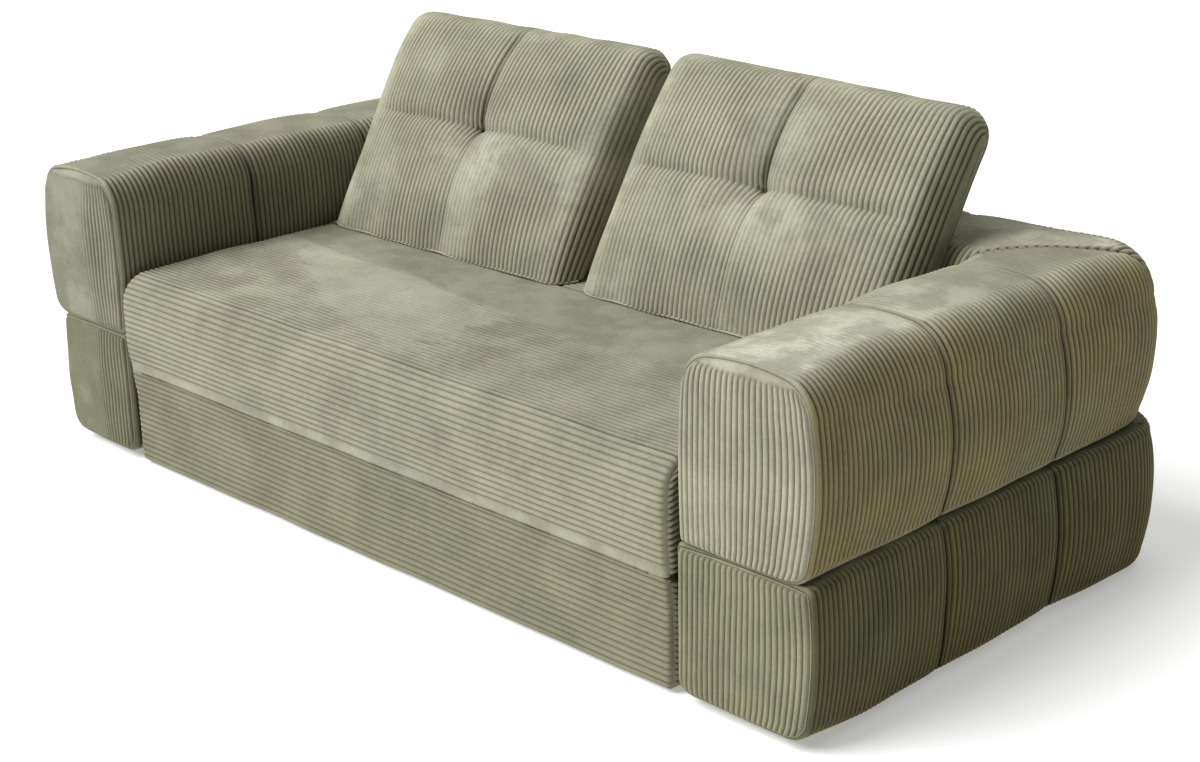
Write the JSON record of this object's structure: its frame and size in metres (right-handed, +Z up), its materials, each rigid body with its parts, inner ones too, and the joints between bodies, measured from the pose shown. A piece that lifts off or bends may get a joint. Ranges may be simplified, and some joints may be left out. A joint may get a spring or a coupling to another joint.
{
  "type": "sofa bed",
  "caption": "Two-seat sofa bed in wide-rib corduroy: two-tier rounded surround, pull-out base, fold-forward seat block and loose tufted back cushions.",
  "frame": {"origin": "middle of the plan at floor level", "axes": "+X along the width towards the right arm as seen from the front, +Y from the seat front to the back rail, +Z up"},
  "size_m": [1.9844, 0.9951, 0.8186],
  "materials": {
    "corduroy": "matte",
    "foam": "matte",
    "fibre_fill": "matte",
    "timber": "matte",
    "steel": "satin",
    "glide_plastic": "matte",
    "webbing": "matte",
    "zip_nylon": "satin",
    "zip_metal": "satin",
    "twine": "matte"
  },
  "bodies": {
    "surround": {"left_arm_upper_cover": "corduroy", "left_arm_upper_foam": "foam", "left_arm_upper_frame": "timber", "left_arm_lower_cover": "corduroy", "left_arm_lower_foam": "foam", "left_arm_lower_frame": "timber", "right_arm_upper_cover": "corduroy", "right_arm_upper_foam": "foam", "right_arm_upper_frame": "timber", "right_arm_lower_cover": "corduroy", "right_arm_lower_foam": "foam", "right_arm_lower_frame": "timber", "back_upper_cover": "corduroy", "back_upper_foam": "foam", "back_upper_frame": "timber", "back_lower_cover": "corduroy", "back_lower_foam": "foam", "back_lower_frame": "timber", "ledge_cover": "corduroy", "ledge_foam": "foam", "ledge_frame": "timber", "tier_bolts": "steel", "ledge_bolts": "steel", "corner_plates": "steel", "corner_screws": "steel", "surround_glides": "glide_plastic"},
    "seat_base": {"base_cover": "corduroy", "base_foam": "foam", "base_frame": "timber", "base_slats": "timber", "base_glides": "glide_plastic", "fold_strip_lower": "webbing"},
    "seat_top": {"seat_cover": "corduroy", "seat_underlay_foam": "foam", "seat_comfort_foam": "foam", "fold_strip_upper": "webbing", "seat_zip": "zip_nylon"},
    "zip_slider": {"seat_zip_slider": "zip_metal", "seat_zip_pull": "zip_metal"},
    "left_cushion": {"left_cushion_cover": "corduroy", "left_cushion_fill": "fibre_fill", "left_cushion_tuft_tie": "twine", "left_cushion_zip": "zip_nylon"},
    "right_cushion": {"right_cushion_cover": "corduroy", "right_cushion_fill": "fibre_fill", "right_cushion_tuft_tie": "twine", "right_cushion_zip": "zip_nylon"}
  },
  "joints": [
    {"name": "base_pull_out", "type": "slide", "parent": "surround", "child": "seat_base", "axis": [0, -1, 0], "range_m": [0, 0.65]},
    {"name": "seat_fold", "type": "hinge", "parent": "seat_base", "child": "seat_top", "pos_m": [0, -0.4895, 0.201], "axis": [1, 0, 0], "range_deg": [0, 180]},
    {"name": "zip_slide", "type": "slide", "parent": "seat_top", "child": "zip_slider", "axis": [0, 1, 0], "range_m": [0, 0.44]},
    {"name": "left_cushion_lift", "type": "slide", "parent": "surround", "child": "left_cushion", "axis": [0, 0.5446, 0.8387], "range_m": [0, 0.45]},
    {"name": "right_cushion_lift", "type": "slide", "parent": "surround", "child": "right_cushion", "axis": [0, 0.5446, 0.8387], "range_m": [0, 0.45]}
  ]
}
